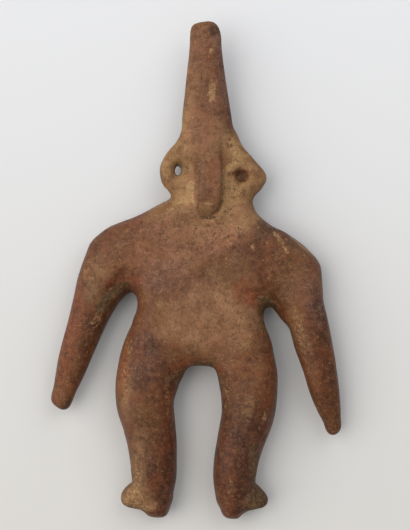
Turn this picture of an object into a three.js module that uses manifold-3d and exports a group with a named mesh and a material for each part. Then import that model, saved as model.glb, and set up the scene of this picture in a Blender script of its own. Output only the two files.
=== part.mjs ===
// A solid pottery figure with a tall headdress, hand-modelled from slabs and rolled coils of clay.
// It lies on its back. Units are millimetres: X runs across the figure, Y from its feet to the tip
// of its headdress, and Z up from the flattened back, which rests on Z = 0.

import * as THREE from "three";
import Module from "manifold-3d";
import { mergeVertices } from "three/addons/utils/BufferGeometryUtils.js";

// Driving dimensions
const LENGTH = 204; // feet to the tip of the headdress
const SPAN = 120; // hand to hand
const MIDDLE = [0.12, -0.85]; // of the drawn outline, which the origin lies under
const TRUNK_TOP = 16.6; // height of the chest and belly above the back
const HEAD_TOP = 13.6; // height of the cheeks
const HEAD_LIFT = 6.2; // height of the back of the head, which doesn't touch the board
const THIGH_TOP = 18.8;
const SHIN_TOP = 16.6;
const FOOT_TOP = 12.4;
const SHOULDER_TOP = 16.4;
const ELBOW_TOP = 14.2;
const ARM_LIFT = 3.4;
const HAND_TOP = 10;
const HAND_LIFT = 3.4;
const CREST_BASE_TOP = 15;
const CREST_MIDDLE_TOP = 14.4;
const CREST_TIP_TOP = 16.2; // the headdress curves up towards its tip
const CREST_LIFT = 11.4;
const NOSE_RISE = 5; // how far the nose stands above the cheeks at its tip

// How the clay was pressed: the back sinks a little below the board, which flattens it.
const BOARD = 0;
const PRESSED = -0.7;
const WAIST_LEVEL = 0.45; // height of the widest line of a section, as a share of its thickness
const FRONT_ROUND = 2.2; // superellipse exponent of a section above its widest line
const BACK_ROUND = 2.5; // and below it
const JOIN = 3; // width of the smeared joint between two pieces of clay
const END_JOIN = 0.7; // the blunt ends are smeared less, and so is the strip of the nose
const NOSE_JOIN = 1;

// A coil is [x, y, half width, top, bottom] along its middle line.
const CREST = [
  [3.9, 94.0, 6.5, CREST_TIP_TOP, CREST_LIFT],
  [4.0, 87.6, 7.1, CREST_TIP_TOP - 0.6, CREST_LIFT - 2.4],
  [4.1, 76.2, 8.5, CREST_MIDDLE_TOP, HEAD_LIFT],
  [4.5, 63.0, 10.2, CREST_BASE_TOP, HEAD_LIFT],
  [5.0, 51.5, 11.0, CREST_BASE_TOP, HEAD_LIFT],
  [5.0, 43.0, 10.4, CREST_BASE_TOP - 0.6, HEAD_LIFT],
];
const LEFT_ARM = [
  [-33.2, 3.7, 13.0, SHOULDER_TOP, PRESSED],
  [-39.1, -6.0, 10.5, SHOULDER_TOP - 0.2, PRESSED],
  [-42.1, -13.0, 8.9, SHOULDER_TOP - 0.9, PRESSED],
  [-45.7, -23.0, 7.6, ELBOW_TOP + 0.4, 0.6],
  [-49.1, -32.9, 6.8, ELBOW_TOP - 0.4, ARM_LIFT - 1],
  [-52.4, -42.9, 5.9, ELBOW_TOP - 2.2, HAND_LIFT - 0.4],
  [-54.7, -50.4, 4.7, HAND_TOP, HAND_LIFT],
];
const RIGHT_ARM = [
  [39.4, -2.6, 12.9, SHOULDER_TOP, PRESSED],
  [43.0, -13.9, 10.4, SHOULDER_TOP - 0.8, PRESSED],
  [46.0, -20.5, 8.4, ELBOW_TOP + 1, 1.4],
  [48.4, -30.4, 7.9, ELBOW_TOP + 0.2, ARM_LIFT],
  [51.1, -40.4, 7.0, ELBOW_TOP - 0.7, ARM_LIFT + 1.2],
  [53.3, -50.3, 6.2, ELBOW_TOP - 1.8, ARM_LIFT + 1],
  [55.9, -60.2, 4.4, HAND_TOP, HAND_LIFT],
  [56.5, -62.6, 3.5, HAND_TOP - 0.6, HAND_LIFT],
];
const LEFT_LEG = [
  [-16.4, -33.5, 13.1, TRUNK_TOP, PRESSED],
  [-19.8, -44.5, 12.9, THIGH_TOP - 0.6, PRESSED],
  [-21.1, -53.6, 12.1, THIGH_TOP, PRESSED],
  [-19.7, -61.9, 11.1, THIGH_TOP - 0.6, PRESSED],
  [-18.3, -70.2, 10.4, SHIN_TOP + 0.4, PRESSED],
  [-17.6, -79.0, 9.7, SHIN_TOP, PRESSED],
  [-17.3, -87.0, 9.1, SHIN_TOP - 1, PRESSED],
  [-16.6, -93.5, 7.2, FOOT_TOP + 1.4, PRESSED],
];
const RIGHT_LEG = [
  [20.3, -33.5, 10.9, TRUNK_TOP, PRESSED],
  [21.5, -44.5, 12.0, THIGH_TOP - 0.6, PRESSED],
  [21.9, -53.0, 11.5, THIGH_TOP, PRESSED],
  [21.3, -59.8, 10.9, THIGH_TOP - 0.2, PRESSED],
  [18.5, -70.2, 9.8, SHIN_TOP + 0.4, PRESSED],
  [16.6, -78.5, 9.2, SHIN_TOP, PRESSED],
  [15.8, -86.0, 8.7, SHIN_TOP - 0.6, PRESSED],
  [16.0, -93.0, 8.0, FOOT_TOP + 1.4, PRESSED],
];
const NOSE_ROOT = 8;
const NOSE = [
  [5.4, 54, 4.2, CREST_BASE_TOP - 0.4, NOSE_ROOT],
  [6.2, 46, 4.5, CREST_BASE_TOP + 0.8, NOSE_ROOT],
  [5.6, 35, 4.7, HEAD_TOP + 0.85 * NOSE_RISE, NOSE_ROOT],
  [5.1, 25.4, 4.8, HEAD_TOP + NOSE_RISE, NOSE_ROOT],
];
// The nose ends in a flat facet that leans back from its foot on the face to its upper edge.
const NOSE_FACET = { foot: 21.8, lean: 0.6, round: 2 };

// A slab is a smooth closed outline of [x, y] points with its edge rounded over edge mm.
const TRUNK = {
  edge: 10,
  top: TRUNK_TOP,
  bottom: PRESSED,
  outline: [
    [-10.3, 29.4], [-24.1, 22.6], [-37.4, 16.2], [-38.5, 3.5], [-27.0, -7.4], [-24.1, -12.6],
    [-27.0, -23.6], [-30.5, -36.2], [-29.8, -48.6], [-19.0, -50.3], [-9.5, -48.5], [-6.6, -43.0],
    [-4.4, -40.2], [7.7, -40.1], [9.4, -43.0], [12.5, -48.5], [20.7, -49.5], [31.0, -47.0],
    [31.1, -33.7], [28.1, -17.0], [32.8, -12.5], [45.3, 7.6], [38.9, 14.6], [31.3, 18.5],
    [25.6, 23.2], [22.0, 28.0], [3.0, 31.0],
  ],
};
const HEAD = {
  edge: 7,
  top: HEAD_TOP,
  bottom: HEAD_LIFT,
  outline: [
    [-3.0, 57.2], [-7.9, 53.0], [-12.2, 48.3], [-15.0, 42.4], [-14.2, 36.2], [-9.3, 30.0],
    [-7.5, 24.0], [-0.4, 20.1], [9.9, 20.1], [20.6, 23.8], [23.6, 29.8], [29.2, 38.0],
    [23.6, 46.2], [19.3, 51.2], [15.6, 57.0],
  ],
};
const CREST_TIP = {
  edge: 4,
  top: CREST_TIP_TOP,
  bottom: CREST_LIFT,
  outline: [
    [-1.0, 87.0], [-2.3, 93.6], [-2.3, 98.1], [-1.6, 99.8], [-0.2, 100.7], [3.4, 101.5],
    [5.6, 101.8], [7.7, 101.2], [9.4, 99.5], [10.3, 96.4], [10.4, 93.0], [9.0, 87.0],
  ],
};
const LEFT_HAND = {
  edge: 3,
  top: HAND_TOP,
  bottom: HAND_LIFT,
  outline: [
    [-51.6, -48.0], [-51.0, -53.4], [-52.3, -56.6], [-53.8, -57.9], [-55.4, -58.0],
    [-58.9, -55.8], [-60.1, -54.4], [-60.2, -52.4], [-58.0, -46.0], [-55.0, -44.0],
  ],
};
const RIGHT_HAND = {
  edge: 3,
  top: HAND_TOP - 0.8,
  bottom: HAND_LIFT,
  outline: [
    [53.2, -60.0], [53.5, -65.8], [55.5, -68.3], [57.4, -68.5], [59.7, -66.8], [60.5, -64.2],
    [58.8, -58.0], [56.0, -56.0],
  ],
};
const LEFT_FOOT = {
  edge: 5,
  top: FOOT_TOP,
  bottom: PRESSED,
  outline: [
    [-24.0, -87.0], [-27.6, -88.7], [-29.7, -90.4], [-31.4, -93.6], [-30.9, -96.5],
    [-29.0, -97.8], [-25.8, -98.5], [-22.4, -99.4], [-20.5, -101.4], [-18.8, -102.1],
    [-13.0, -102.3], [-11.8, -101.3], [-10.7, -97.8], [-10.6, -92.0], [-15.0, -86.0],
  ],
};
const RIGHT_FOOT = {
  edge: 5,
  top: FOOT_TOP,
  bottom: PRESSED,
  outline: [
    [21.0, -87.0], [24.8, -88.6], [27.6, -91.2], [29.9, -94.5], [29.3, -96.9], [26.4, -98.3],
    [21.6, -99.4], [19.2, -100.7], [17.9, -102.5], [15.8, -102.9], [12.1, -102.3],
    [10.9, -101.3], [9.9, -97.6], [9.6, -92.0], [14.0, -86.0],
  ],
};

// A thumb pressed the neck thinner: the middle and the half sizes of its hollow.
const NECK_HOLLOW = { middle: [6.5, 18.5, TRUNK_TOP + 3], size: [17, 8.5, 5.4] };

// The eyes are punched with a flaring stick: one goes right through, the other stops inside.
const LEFT_EYE = { x: -7.4, y: 41.1, width: 2.7, height: 4.5, mouth: 1.6, throatLevel: 10 };
const RIGHT_EYE = { x: 18.2, y: 38.5, width: 2.8, height: 2, mouth: 2, depth: 3 };

const CELL = 2.84; // spacing of the sampling grid
const CURVE_STEP = 0.8; // spacing of the points taken along a smooth line
const POLISH_STEPS = 3;
const POLISH_REACH = CELL / 3; // furthest that one step may move a vertex
const POLISH_PROBE = 0.05; // distance over which the slope of the clay is felt
const GENTLEST_SLOPE = 0.25;
const TINY = 1e-6;
const WELD = 1e-4;
const STICK_SIDES = 20;
const CLEAR = 30; // how far a stick or the board reaches clear of the clay

// The samples of a smooth line through listed points.
function smoothLine(points, closed) {
  const curve = new THREE.CatmullRomCurve3(
    points.map(([x, y]) => new THREE.Vector3(x, y, 0)),
    closed,
    "centripetal",
  );
  return curve.getPoints(Math.ceil(curve.getLength() / CURVE_STEP));
}

// The share of a segment at which a point lies nearest, and the distance from there.
function nearestOnSegment(x, y, a, b) {
  const dx = b.x - a.x;
  const dy = b.y - a.y;
  const share = THREE.MathUtils.clamp(((x - a.x) * dx + (y - a.y) * dy) / (dx * dx + dy * dy), 0, 1);
  return { share, distance: Math.hypot(x - a.x - share * dx, y - a.y - share * dy) };
}

// How far a point lies outside a rounded section, across being its share of the half width.
function outsideSection(across, halfWidth, z, top, bottom) {
  const level = bottom + WAIST_LEVEL * (top - bottom);
  const above = z > level;
  const half = above ? top - level : level - bottom;
  const power = above ? FRONT_ROUND : BACK_ROUND;
  const rise = Math.abs(z - level) / half;
  const r = Math.max((across ** power + rise ** power) ** (1 / power), TINY);
  const slope = Math.hypot((across / r) ** (power - 1) / halfWidth, (rise / r) ** (power - 1) / half);
  return (r - 1) / slope;
}

// Each piece of clay is a function of (x, y) that gives a function of z: how far outside it lies.
function coil(stations) {
  const line = smoothLine(stations, false);
  const last = stations.length - 1;
  const spread = (line.length - 1) / last;
  return (x, y) => {
    let nearest = { distance: Infinity };
    for (let i = 0; i + 1 < line.length; i++) {
      const near = nearestOnSegment(x, y, line[i], line[i + 1]);
      if (near.distance < nearest.distance) nearest = { ...near, at: (i + near.share) / spread };
    }
    const before = Math.min(Math.floor(nearest.at), last - 1);
    const mix = nearest.at - before;
    const [, , width, top, bottom] = stations[before].map(
      (value, k) => value + mix * (stations[before + 1][k] - value),
    );
    return (z) => outsideSection(nearest.distance / width, width, z, top, bottom);
  };
}

function slab({ outline, edge, top, bottom }) {
  const line = smoothLine(outline, true);
  return (x, y) => {
    let distance = Infinity;
    let inside = false;
    for (let i = 0; i + 1 < line.length; i++) {
      const a = line[i];
      const b = line[i + 1];
      distance = Math.min(distance, nearestOnSegment(x, y, a, b).distance);
      if (a.y > y !== b.y > y && x < a.x + ((y - a.y) / (b.y - a.y)) * (b.x - a.x)) inside = !inside;
    }
    const across = Math.max(1 - (inside ? distance : -distance) / edge, 0);
    return (z) => outsideSection(across, edge, z, top, bottom);
  };
}

function smear(a, b, width) {
  const overlap = Math.max(width - Math.abs(a - b), 0) / width;
  return Math.min(a, b) - (overlap * overlap * width) / 4;
}

// Clay with a hollow taken out of it, and the lip between them rounded.
function carve(clay, hollow, lip) {
  return -smear(-clay, hollow, lip);
}

function noseStrip() {
  const strip = coil(NOSE);
  const { foot, lean, round } = NOSE_FACET;
  return (x, y) => {
    const column = strip(x, y);
    return (z) => carve(column(z), (y - foot - lean * (z - HEAD_TOP)) / Math.hypot(1, lean), round);
  };
}

function ellipsoid({ middle, size }) {
  return (x, y) => (z) => {
    const reach = [x, y, z].map((value, k) => (value - middle[k]) / size[k]);
    const steepness = Math.hypot(...reach.map((value, k) => value / size[k]));
    const r = Math.hypot(...reach);
    return (r * (r - 1)) / Math.max(steepness, TINY);
  };
}

const coils = [CREST, LEFT_ARM, RIGHT_ARM, LEFT_LEG, RIGHT_LEG].map(coil);
const body = [slab(TRUNK), slab(HEAD), ...coils];
const ends = [CREST_TIP, LEFT_HAND, RIGHT_HAND, LEFT_FOOT, RIGHT_FOOT].map(slab);
const nose = noseStrip();
const neckHollow = ellipsoid(NECK_HOLLOW);

// The whole figure: negative inside the clay, positive outside.
function clay(x, y) {
  const [bodyColumns, endColumns] = [body, ends].map((pieces) => pieces.map((piece) => piece(x, y)));
  const noseColumn = nose(x, y);
  const hollowColumn = neckHollow(x, y);
  return (z) => {
    const joined = bodyColumns.reduce((all, column) => smear(all, column(z), JOIN), CLEAR);
    const ended = endColumns.reduce((all, column) => smear(all, column(z), END_JOIN), joined);
    return smear(carve(ended, hollowColumn(z), JOIN), noseColumn(z), NOSE_JOIN);
  };
}

function gridLine(low, high) {
  const count = Math.ceil((high - low) / CELL);
  return Array.from({ length: count + 1 }, (_, i) => low + ((high - low) * i) / count);
}

// Samples the clay on a grid and puts one vertex in every cell that its surface crosses.
function figureSkin() {
  const margin = 2 * CELL;
  const axes = [
    gridLine(-SPAN / 2 - margin, SPAN / 2 + margin),
    gridLine(-LENGTH / 2 - margin, LENGTH / 2 + margin),
    gridLine(PRESSED - margin, HEAD_TOP + NOSE_RISE + margin),
  ];
  const [nx, ny, nz] = axes.map((line) => line.length);
  const index = (i, j, k) => (i * ny + j) * nz + k;
  const values = new Float32Array(nx * ny * nz);
  axes[0].forEach((x, i) =>
    axes[1].forEach((y, j) => {
      const column = clay(x, y);
      axes[2].forEach((z, k) => {
        values[index(i, j, k)] = column(z);
      });
    }),
  );
  const forCells = (visit) => {
    for (let i = 1; i + 1 < nx; i++)
      for (let j = 1; j + 1 < ny; j++) for (let k = 1; k + 1 < nz; k++) visit([i, j, k]);
  };

  const steps = [index(1, 0, 0), index(0, 1, 0), index(0, 0, 1)];
  const points = [];
  const vertexOfCell = new Map();
  forCells((cell) => {
    const sum = new THREE.Vector3();
    let crossings = 0;
    for (let axis = 0; axis < 3; axis++) {
      for (let corner = 0; corner < 4; corner++) {
        const from = [...cell];
        from[(axis + 1) % 3] += corner & 1;
        from[(axis + 2) % 3] += corner >> 1;
        const a = values[index(...from)];
        const b = values[index(...from) + steps[axis]];
        if (a < 0 === b < 0) continue;
        const at = from.map((n, t) => axes[t][n]);
        at[axis] += (a / (a - b)) * (axes[axis][from[axis] + 1] - axes[axis][from[axis]]);
        sum.add(new THREE.Vector3(...at));
        crossings++;
      }
    }
    if (!crossings) return;
    vertexOfCell.set(index(...cell), points.length);
    points.push(sum.divideScalar(crossings));
  });

  const triangles = [];
  forCells((cell) => {
    const here = index(...cell);
    for (let axis = 0; axis < 3; axis++) {
      const inside = values[here] < 0;
      if (inside === values[here + steps[axis]] < 0) continue;
      const [u, v] = [steps[(axis + 1) % 3], steps[(axis + 2) % 3]];
      const ring = [here, here - u, here - u - v, here - v].map((at) => vertexOfCell.get(at));
      if (!inside) ring.reverse();
      triangles.push(ring[0], ring[1], ring[2], ring[0], ring[2], ring[3]);
    }
  });
  points.forEach(polish);
  return new THREE.BufferGeometry().setFromPoints(points).setIndex(triangles);
}

// Moves a vertex along the slope of the clay until it lies on the surface.
function polish(p) {
  for (let step = 0; step < POLISH_STEPS; step++) {
    const here = clay(p.x, p.y);
    const value = here(p.z);
    const slope = new THREE.Vector3(
      clay(p.x + POLISH_PROBE, p.y)(p.z) - value,
      clay(p.x, p.y + POLISH_PROBE)(p.z) - value,
      here(p.z + POLISH_PROBE) - value,
    ).divideScalar(POLISH_PROBE);
    const move = value / Math.max(slope.lengthSq(), GENTLEST_SLOPE);
    p.addScaledVector(slope, -THREE.MathUtils.clamp(move, -POLISH_REACH, POLISH_REACH));
  }
}

const wasm = await Module();
wasm.setup();

function solidOf(geometry) {
  const bare = geometry.clone();
  bare.deleteAttribute("normal");
  bare.deleteAttribute("uv");
  const merged = mergeVertices(bare, WELD);
  return new wasm.Manifold(
    new wasm.Mesh({
      numProp: 3,
      vertProperties: merged.attributes.position.array,
      triVerts: new Uint32Array(merged.index.array),
    }),
  );
}

function geometryOf(solid) {
  const mesh = solid.getMesh();
  const geometry = new THREE.BufferGeometry();
  geometry.setAttribute("position", new THREE.BufferAttribute(mesh.vertProperties, mesh.numProp));
  geometry.setIndex(new THREE.BufferAttribute(mesh.triVerts, 1));
  geometry.computeVertexNormals();
  return geometry;
}

// A punching stick from [radius, level] pairs. A radius of 1 is the eye's own narrow oval, width by
// height, and a larger one widens it evenly.
function stick({ x, y, width, height }, profile) {
  const turned = new THREE.LatheGeometry(
    profile.map(([radius, level]) => new THREE.Vector2(radius, level)),
    STICK_SIDES,
  );
  const spots = turned.rotateX(Math.PI / 2).attributes.position;
  for (let i = 0; i < spots.count; i++) {
    const radius = Math.hypot(spots.getX(i), spots.getY(i));
    const widen = radius > WELD ? 1 / radius : 0;
    spots.setX(i, x + spots.getX(i) * widen * (radius + width / 2 - 1));
    spots.setY(i, y + spots.getY(i) * widen * (radius + height / 2 - 1));
  }
  return solidOf(turned);
}

const throughStick = stick(LEFT_EYE, [
  [0, -CLEAR],
  [1 + LEFT_EYE.mouth / 2, -CLEAR],
  [1 + LEFT_EYE.mouth / 2, BOARD],
  [1, LEFT_EYE.throatLevel],
  [1 + LEFT_EYE.mouth, HEAD_TOP],
  [1 + LEFT_EYE.mouth, CLEAR],
  [0, CLEAR],
]);
const blindStick = stick(RIGHT_EYE, [
  [0, HEAD_TOP - RIGHT_EYE.depth],
  [1, HEAD_TOP - RIGHT_EYE.depth],
  [1 + RIGHT_EYE.mouth, HEAD_TOP],
  [1 + RIGHT_EYE.mouth, CLEAR],
  [0, CLEAR],
]);
const board = new THREE.BoxGeometry(LENGTH + 2 * CLEAR, LENGTH + 2 * CLEAR, CLEAR);
board.translate(0, 0, BOARD - CLEAR / 2);

const figureSolid = solidOf(figureSkin())
  .subtract(solidOf(board))
  .subtract(throughStick)
  .subtract(blindStick)
  .translate(-MIDDLE[0], -MIDDLE[1], 0);

const burnishedClay = new THREE.MeshStandardMaterial({ color: 0x7a5440, roughness: 0.6, metalness: 0 });
const figure = new THREE.Mesh(geometryOf(figureSolid), burnishedClay);
figure.name = "figure";

const root = new THREE.Group();
root.add(figure);

export default root;
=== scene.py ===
import math

import bpy
import numpy as np
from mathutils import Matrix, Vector


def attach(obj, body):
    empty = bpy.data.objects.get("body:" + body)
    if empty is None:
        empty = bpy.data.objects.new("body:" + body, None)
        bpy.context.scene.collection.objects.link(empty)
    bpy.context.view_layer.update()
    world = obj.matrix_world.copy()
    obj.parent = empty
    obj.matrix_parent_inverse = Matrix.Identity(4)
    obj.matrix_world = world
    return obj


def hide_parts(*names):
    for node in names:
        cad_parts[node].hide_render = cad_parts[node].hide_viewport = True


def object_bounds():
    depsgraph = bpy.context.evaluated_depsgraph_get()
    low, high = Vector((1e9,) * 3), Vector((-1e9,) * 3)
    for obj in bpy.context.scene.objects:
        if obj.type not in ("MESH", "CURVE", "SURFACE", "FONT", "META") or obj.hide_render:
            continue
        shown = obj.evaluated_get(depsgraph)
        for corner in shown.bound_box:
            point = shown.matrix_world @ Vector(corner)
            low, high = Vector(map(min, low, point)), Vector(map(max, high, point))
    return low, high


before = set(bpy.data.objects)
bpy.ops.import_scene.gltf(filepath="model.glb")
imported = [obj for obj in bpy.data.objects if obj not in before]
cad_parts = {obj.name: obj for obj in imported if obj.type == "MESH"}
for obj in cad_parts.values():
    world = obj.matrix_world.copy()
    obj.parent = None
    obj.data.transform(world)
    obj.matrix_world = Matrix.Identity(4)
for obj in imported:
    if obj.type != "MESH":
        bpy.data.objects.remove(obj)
cad_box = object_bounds()

# The clay body. A potter pressed two slabs of stiff red clay on a flat board for the trunk and the
# head, joined rolled coils to them for the headdress, arms and legs, and ended these in small pads
# of clay for the tip, the hands and the feet. Every joint was smeared over.

# Sizes are millimetres of the figure as it lies: X across, Y up to the headdress, Z off the board.
DRAWN_LENGTH = 203.83
DRAWN_MIDDLE = np.array((0.12, -0.85, 0.0))
MM = (cad_box[1].y - cad_box[0].y) / DRAWN_LENGTH

# Tops are heights of the front over the board, and lifts are heights of the back over it.
TRUNK_TOP = 16.6
HEAD_TOP = 13.6
HEAD_LIFT = 6.2
THIGH_TOP = 18.8
SHIN_TOP = 16.6
FOOT_TOP = 12.4
SHOULDER_TOP = 16.4
ELBOW_TOP = 14.2
ARM_LIFT = 3.4
HAND_TOP = 10.0
HAND_LIFT = 3.4
CREST_BASE_TOP = 15.0
CREST_MIDDLE_TOP = 14.4
CREST_TIP_TOP = 16.2
CREST_LIFT = 11.4
# Clay that lies on the board was pressed this far past its surface, which flattened it.
PRESSED = -0.7
# A section is widest at this share of its height. The roundings are powers: 2 is round, and a
# higher one is squarer.
WAIST_LEVEL = 0.45
FRONT_ROUND = 2.2
BACK_ROUND = 2.5
# Joints are smeared over these widths.
JOIN = 3.0
END_JOIN = 0.7

# A coil is [x, y, half width, top, bottom] along its middle line.
COILS = {
    "crest": [
        [3.9, 94.0, 6.5, CREST_TIP_TOP, CREST_LIFT],
        [4.0, 87.6, 7.1, CREST_TIP_TOP - 0.6, CREST_LIFT - 2.4],
        [4.1, 76.2, 8.5, CREST_MIDDLE_TOP, HEAD_LIFT],
        [4.5, 63.0, 10.2, CREST_BASE_TOP, HEAD_LIFT],
        [5.0, 51.5, 11.0, CREST_BASE_TOP, HEAD_LIFT],
        [5.0, 43.0, 10.4, CREST_BASE_TOP - 0.6, HEAD_LIFT],
    ],
    "left_arm": [
        [-33.2, 3.7, 13.0, SHOULDER_TOP, PRESSED],
        [-39.1, -6.0, 10.5, SHOULDER_TOP - 0.2, PRESSED],
        [-42.1, -13.0, 8.9, SHOULDER_TOP - 0.9, PRESSED],
        [-45.7, -23.0, 7.6, ELBOW_TOP + 0.4, 0.6],
        [-49.1, -32.9, 6.8, ELBOW_TOP - 0.4, ARM_LIFT - 1.0],
        [-52.4, -42.9, 5.9, ELBOW_TOP - 2.2, HAND_LIFT - 0.4],
        [-54.7, -50.4, 4.7, HAND_TOP, HAND_LIFT],
    ],
    "right_arm": [
        [39.4, -2.6, 12.9, SHOULDER_TOP, PRESSED],
        [43.0, -13.9, 10.4, SHOULDER_TOP - 0.8, PRESSED],
        [46.0, -20.5, 8.4, ELBOW_TOP + 1.0, 1.4],
        [48.4, -30.4, 7.9, ELBOW_TOP + 0.2, ARM_LIFT],
        [51.1, -40.4, 7.0, ELBOW_TOP - 0.7, ARM_LIFT + 1.2],
        [53.3, -50.3, 6.2, ELBOW_TOP - 1.8, ARM_LIFT + 1.0],
        [55.9, -60.2, 4.4, HAND_TOP, HAND_LIFT],
        [56.5, -62.6, 3.5, HAND_TOP - 0.6, HAND_LIFT],
    ],
    "left_leg": [
        [-16.4, -33.5, 13.1, TRUNK_TOP, PRESSED],
        [-19.8, -44.5, 12.9, THIGH_TOP - 0.6, PRESSED],
        [-21.1, -53.6, 12.1, THIGH_TOP, PRESSED],
        [-19.7, -61.9, 11.1, THIGH_TOP - 0.6, PRESSED],
        [-18.3, -70.2, 10.4, SHIN_TOP + 0.4, PRESSED],
        [-17.6, -79.0, 9.7, SHIN_TOP, PRESSED],
        [-17.3, -87.0, 9.1, SHIN_TOP - 1, PRESSED],
        [-16.6, -93.5, 7.2, FOOT_TOP + 1.4, PRESSED],
    ],
    "right_leg": [
        [20.3, -33.5, 10.9, TRUNK_TOP, PRESSED],
        [21.5, -44.5, 12.0, THIGH_TOP - 0.6, PRESSED],
        [21.9, -53.0, 11.5, THIGH_TOP, PRESSED],
        [21.3, -59.8, 10.9, THIGH_TOP - 0.2, PRESSED],
        [18.5, -70.2, 9.8, SHIN_TOP + 0.4, PRESSED],
        [16.6, -78.5, 9.2, SHIN_TOP, PRESSED],
        [15.8, -86.0, 8.7, SHIN_TOP - 0.6, PRESSED],
        [16.0, -93.0, 8.0, FOOT_TOP + 1.4, PRESSED],
    ],
}
# A slab or a pad is a closed outline of [x, y] points with its edge rounded over edge mm.
SLABS = {
    "trunk": {
        "edge": 10, "top": TRUNK_TOP, "bottom": PRESSED,
        "outline": [
            [-10.3, 29.4], [-24.1, 22.6], [-37.4, 16.2], [-38.5, 3.5], [-27.0, -7.4], [-24.1, -12.6],
            [-27.0, -23.6], [-30.5, -36.2], [-29.8, -48.6], [-19.0, -50.3], [-9.5, -48.5],
            [-6.6, -43.0], [-4.4, -40.2], [7.7, -40.1], [9.4, -43.0], [12.5, -48.5], [20.7, -49.5],
            [31.0, -47.0], [31.1, -33.7], [28.1, -17.0], [32.8, -12.5], [45.3, 7.6], [38.9, 14.6],
            [31.3, 18.5], [25.6, 23.2], [22.0, 28.0], [3.0, 31.0],
        ],
    },
    "head": {
        "edge": 7, "top": HEAD_TOP, "bottom": HEAD_LIFT,
        "outline": [
            [-3.0, 57.2], [-7.9, 53.0], [-12.2, 48.3], [-15.0, 42.4], [-14.2, 36.2], [-9.3, 30.0],
            [-7.5, 24.0], [-0.4, 20.1], [9.9, 20.1], [20.6, 23.8], [23.6, 29.8], [29.2, 38.0],
            [23.6, 46.2], [19.3, 51.2], [15.6, 57.0],
        ],
    },
}
PADS = {
    "crest_tip": {
        "edge": 4, "top": CREST_TIP_TOP, "bottom": CREST_LIFT,
        "outline": [[-1.0, 87.0], [-2.3, 93.6], [-2.3, 98.1], [-1.6, 99.8], [-0.2, 100.7], [3.4, 101.5],
                    [5.6, 101.8], [7.7, 101.2], [9.4, 99.5], [10.3, 96.4], [10.4, 93.0], [9.0, 87.0]],
    },
    "left_hand": {
        "edge": 3, "top": HAND_TOP, "bottom": HAND_LIFT,
        "outline": [[-51.6, -48.0], [-51.0, -53.4], [-52.3, -56.6], [-53.8, -57.9], [-55.4, -58.0],
                    [-58.9, -55.8], [-60.1, -54.4], [-60.2, -52.4], [-58.0, -46.0], [-55.0, -44.0]],
    },
    "right_hand": {
        "edge": 3, "top": HAND_TOP - 0.8, "bottom": HAND_LIFT,
        "outline": [[53.2, -60.0], [53.5, -65.8], [55.5, -68.3], [57.4, -68.5], [59.7, -66.8],
                    [60.5, -64.2], [58.8, -58.0], [56.0, -56.0]],
    },
    "left_foot": {
        "edge": 5, "top": FOOT_TOP, "bottom": PRESSED,
        "outline": [[-24.0, -87.0], [-27.6, -88.7], [-29.7, -90.4], [-31.4, -93.6], [-30.9, -96.5],
                    [-29.0, -97.8], [-25.8, -98.5], [-22.4, -99.4], [-20.5, -101.4], [-18.8, -102.1],
                    [-13.0, -102.3], [-11.8, -101.3], [-10.7, -97.8], [-10.6, -92.0], [-15.0, -86.0]],
    },
    "right_foot": {
        "edge": 5, "top": FOOT_TOP, "bottom": PRESSED,
        "outline": [[21.0, -87.0], [24.8, -88.6], [27.6, -91.2], [29.9, -94.5], [29.3, -96.9],
                    [26.4, -98.3], [21.6, -99.4], [19.2, -100.7], [17.9, -102.5], [15.8, -102.9],
                    [12.1, -102.3], [10.9, -101.3], [9.9, -97.6], [9.6, -92.0], [14.0, -86.0]],
    },
}

# The clay is kept on a grid, as how far outside its surface each point lies. Near a piece means
# within REACH of it, and everything starts out FAR outside. A smooth line has LINE_STEPS samples
# from one station to the next.
CELL = 0.63
MARGIN = 3
REACH = 6.0
FAR = 9.0
TINY = 1e-6
LINE_STEPS = 12
LOW, HIGH = (np.array(corner) / MM + DRAWN_MIDDLE for corner in cad_box)
AXES = [np.arange(low - MARGIN, high + MARGIN, CELL) for low, high in zip(LOW, HIGH)]
COLUMN_X, COLUMN_Y = (a.ravel() for a in np.meshgrid(AXES[0], AXES[1], indexing="ij"))
LEVELS = AXES[2][None, :]
GRID = tuple(len(axis) for axis in AXES)


def smooth_line(stations, closed=False):
    """Centripetal Catmull-Rom samples through the stations, all their columns together."""
    s = np.array(stations, float)
    s = np.vstack([s[-1:], s, s[:2]] if closed else [2 * s[:1] - s[1:2], s, 2 * s[-1:] - s[-2:-1]])
    knots = np.cumsum(np.r_[0, np.linalg.norm(np.diff(s[:, :2], axis=0), axis=1) ** 0.5])

    def between(a, b, i, j, u):
        return (a * (knots[j] - u) + b * (u - knots[i])) / (knots[j] - knots[i])

    samples = []
    for k in range(1, len(s) - 2):
        u = np.linspace(knots[k], knots[k + 1], LINE_STEPS, endpoint=False)[:, None]
        a = [between(s[k + n], s[k + n + 1], k + n, k + n + 1, u) for n in (-1, 0, 1)]
        b = [between(a[n + 1], a[n + 2], k + n, k + n + 2, u) for n in (-1, 0)]
        samples.append(between(b[0], b[1], k, k + 1, u))
    return np.vstack([*samples, s[-2:-1]])


def nearest_on(line, x, y):
    """Every point's distance to a line of samples, and the samples' other columns there."""
    distance = np.full(len(x), np.inf)
    values = np.zeros((len(x), line.shape[1] - 2))
    for a, b in zip(line[:-1], line[1:]):
        run = b[:2] - a[:2]
        share = np.clip(((x - a[0]) * run[0] + (y - a[1]) * run[1]) / (run @ run), 0, 1)
        gap = np.hypot(x - a[0] - share * run[0], y - a[1] - share * run[1])
        closer = gap < distance
        distance[closer] = gap[closer]
        values[closer] = a[2:] + share[closer, None] * (b - a)[2:]
    return distance, values


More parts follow.
